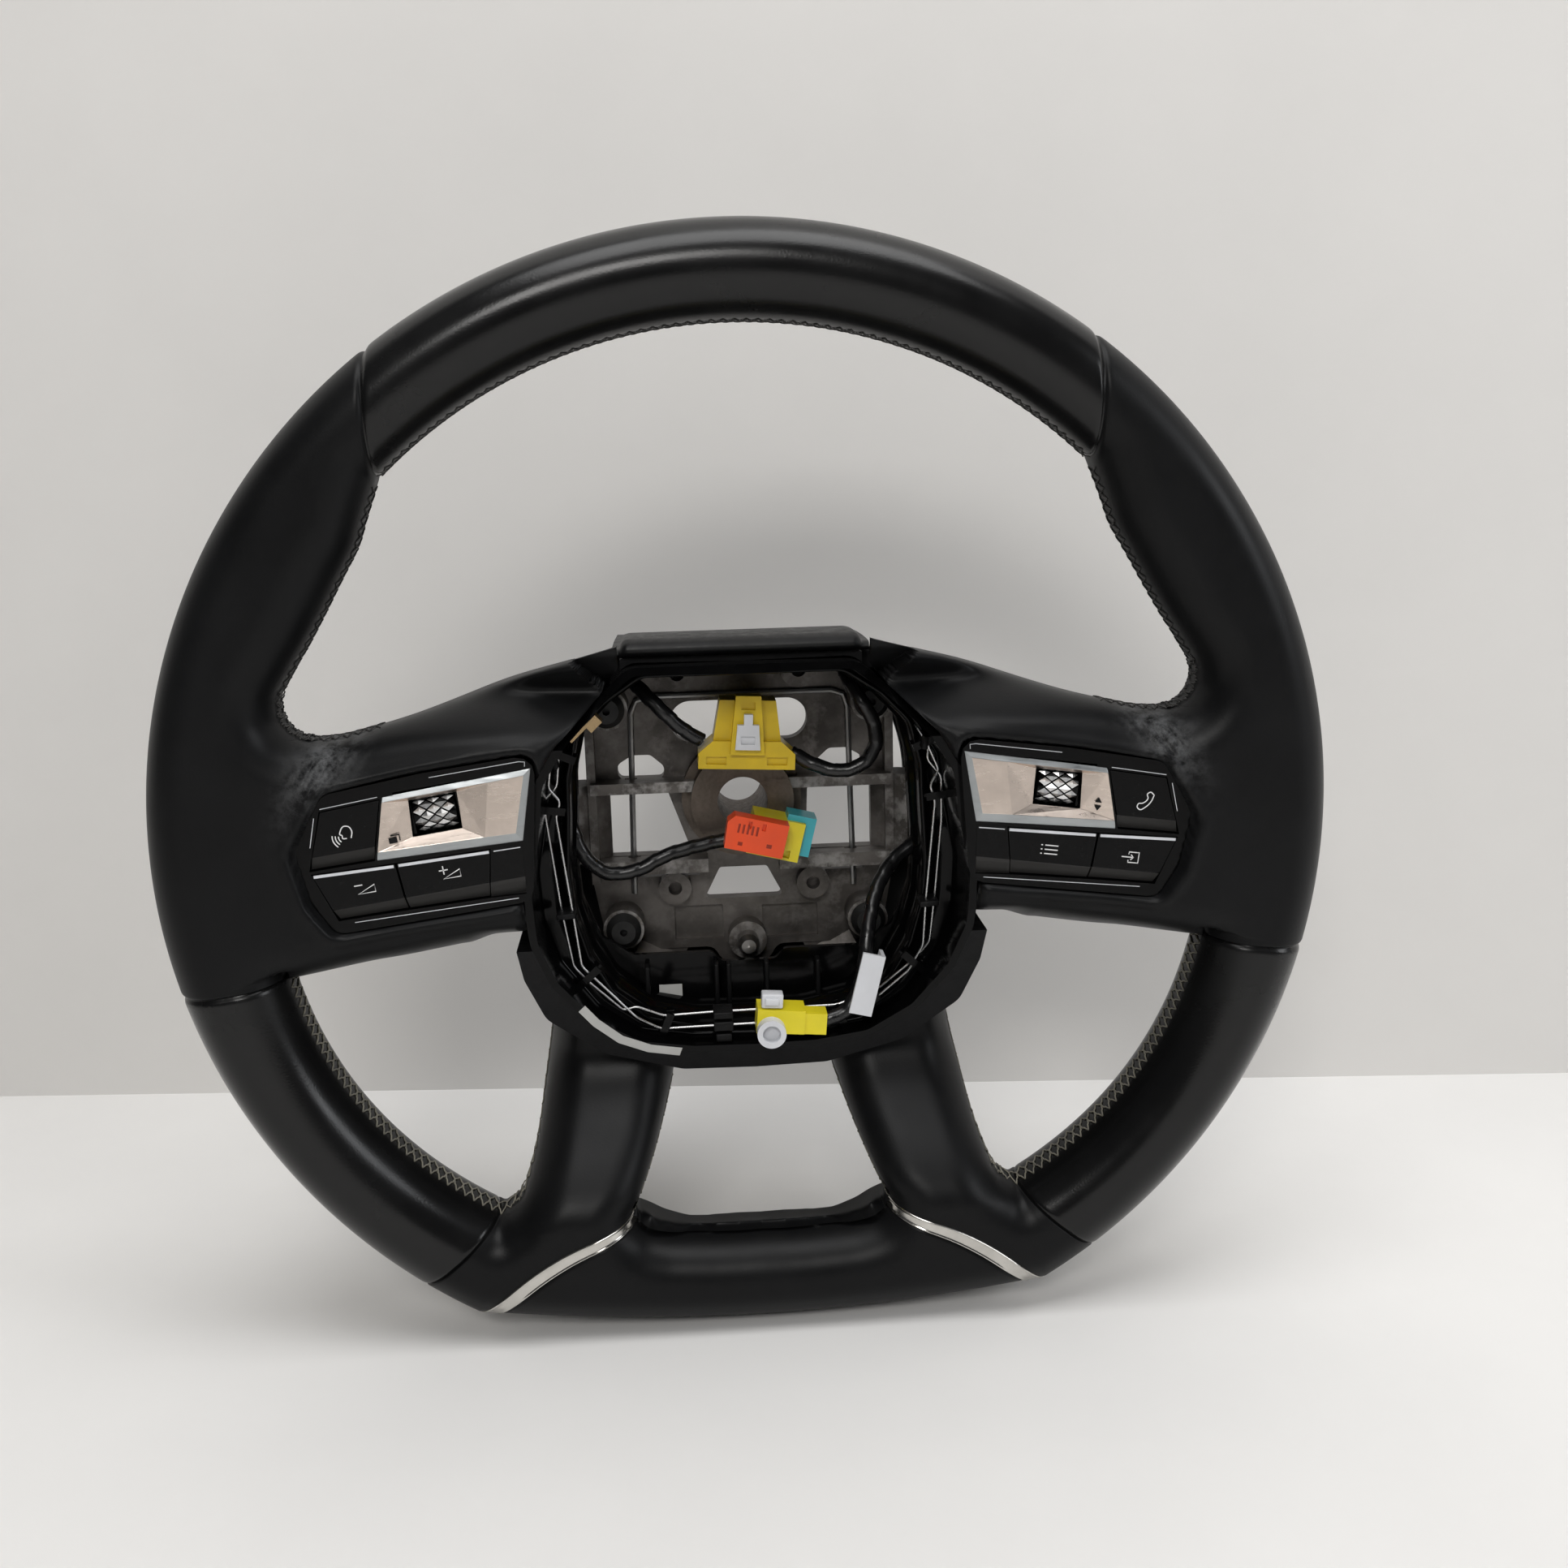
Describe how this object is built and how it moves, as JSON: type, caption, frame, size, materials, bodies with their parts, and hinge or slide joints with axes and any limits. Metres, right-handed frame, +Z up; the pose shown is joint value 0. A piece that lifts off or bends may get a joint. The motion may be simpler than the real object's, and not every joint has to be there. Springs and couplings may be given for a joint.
{
  "type": "car steering wheel",
  "caption": "Leather-wrapped flat-bottomed car steering wheel with thumb rests, side spokes with switch modules and rollers, lower spokes, and an open hub without its airbag.",
  "frame": {"origin": "centre of the column bore at the hub boss's front face", "axes": "+X to the driver's right, +Y along the column away from the driver, +Z up in the straight-ahead position"},
  "size_m": [0.351, 0.1011, 0.333],
  "materials": {
    "armature_metal": "die-cast, dull",
    "hub_steel": "dull",
    "spring_wire": "bright",
    "bush_rubber": "matt",
    "smooth_leather": "smooth, worn to a slight shine",
    "satin_chrome": "satin with bright edges",
    "gloss_black": "gloss",
    "grained_black": "fine grain",
    "contact_wire": "bright",
    "satin_plate": "satin",
    "knurled_roller": "knurled, dark in the grooves",
    "key_black": "gloss with white symbols",
    "amber_plastic": "smooth",
    "white_plastic": "smooth",
    "orange_plastic": "smooth",
    "yellow_plastic": "smooth",
    "cyan_plastic": "smooth",
    "taped_lead": "cloth tape",
    "white_paper": "paper"
  },
  "bodies": {
    "wheel": {"armature": "armature_metal", "armature_ring": "armature_metal", "hub_insert": "hub_steel", "retaining_wire": "spring_wire", "locating_pin": "spring_wire", "airbag_bushes": "bush_rubber", "grip_top": "smooth_leather", "grip_left": "smooth_leather", "grip_right": "smooth_leather", "grip_lower_left": "smooth_leather", "grip_lower_right": "smooth_leather", "spoke_cover_left": "smooth_leather", "spoke_cover_right": "smooth_leather", "grip_bottom": "smooth_leather", "trim_left": "satin_chrome", "trim_right": "satin_chrome", "airbag_frame": "gloss_black", "rear_cover": "grained_black", "horn_wire_front": "contact_wire", "horn_wire_rear": "contact_wire", "horn_terminal": "contact_wire", "switch_housing_left": "gloss_black", "switch_housing_right": "gloss_black", "switch_plate_left": "satin_plate", "switch_plate_right": "satin_plate", "blank_left": "gloss_black", "blank_right": "gloss_black", "main_plug": "amber_plastic", "main_plug_lock": "white_plastic", "header_plug": "orange_plastic", "header_body": "yellow_plastic", "header_cover": "cyan_plastic", "small_plug": "yellow_plastic", "small_plug_ring": "white_plastic", "plug_clip": "white_plastic", "lead_top_left": "taped_lead", "lead_top_right": "taped_lead", "lead_left": "taped_lead", "lead_low": "taped_lead", "sticker": "white_paper", "label_strip": "white_paper"},
    "key_voice": {"key_voice": "key_black"},
    "key_volume_down": {"key_volume_down": "key_black"},
    "key_volume_up": {"key_volume_up": "key_black"},
    "key_phone": {"key_phone": "key_black"},
    "key_list": {"key_list": "key_black"},
    "key_source": {"key_source": "key_black"},
    "roller_carrier_left": {"roller_carrier_left": "gloss_black"},
    "roller_carrier_right": {"roller_carrier_right": "gloss_black"},
    "roller_left": {"roller_left": "knurled_roller"},
    "roller_right": {"roller_right": "knurled_roller"}
  },
  "joints": [
    {"name": "key_voice_press", "type": "slide", "parent": "wheel", "child": "key_voice", "axis": [0, 1, 0], "range_m": [0, 0.0008], "stiffness_N_per_m": 1500},
    {"name": "key_volume_down_press", "type": "slide", "parent": "wheel", "child": "key_volume_down", "axis": [0, 1, 0], "range_m": [0, 0.0008], "stiffness_N_per_m": 1500},
    {"name": "key_volume_up_press", "type": "slide", "parent": "wheel", "child": "key_volume_up", "axis": [0, 1, 0], "range_m": [0, 0.0008], "stiffness_N_per_m": 1500},
    {"name": "key_phone_press", "type": "slide", "parent": "wheel", "child": "key_phone", "axis": [0, 1, 0], "range_m": [0, 0.0008], "stiffness_N_per_m": 1500},
    {"name": "key_list_press", "type": "slide", "parent": "wheel", "child": "key_list", "axis": [0, 1, 0], "range_m": [0, 0.0008], "stiffness_N_per_m": 1500},
    {"name": "key_source_press", "type": "slide", "parent": "wheel", "child": "key_source", "axis": [0, 1, 0], "range_m": [0, 0.0008], "stiffness_N_per_m": 1500},
    {"name": "roller_left_press", "type": "slide", "parent": "wheel", "child": "roller_carrier_left", "axis": [0, 1, 0], "range_m": [0, 0.0008], "stiffness_N_per_m": 1500},
    {"name": "roller_left_spin", "type": "hinge", "parent": "roller_carrier_left", "child": "roller_left", "pos_m": [-0.09153, -0.0511, 0.01319], "axis": [0.9903, 0, 0.1392], "continuous": true},
    {"name": "roller_right_press", "type": "slide", "parent": "wheel", "child": "roller_carrier_right", "axis": [0, 1, 0], "range_m": [0, 0.0008], "stiffness_N_per_m": 1500},
    {"name": "roller_right_spin", "type": "hinge", "parent": "roller_carrier_right", "child": "roller_right", "pos_m": [0.09153, -0.0511, 0.01319], "axis": [0.9903, 0, -0.1392], "continuous": true}
  ]
}
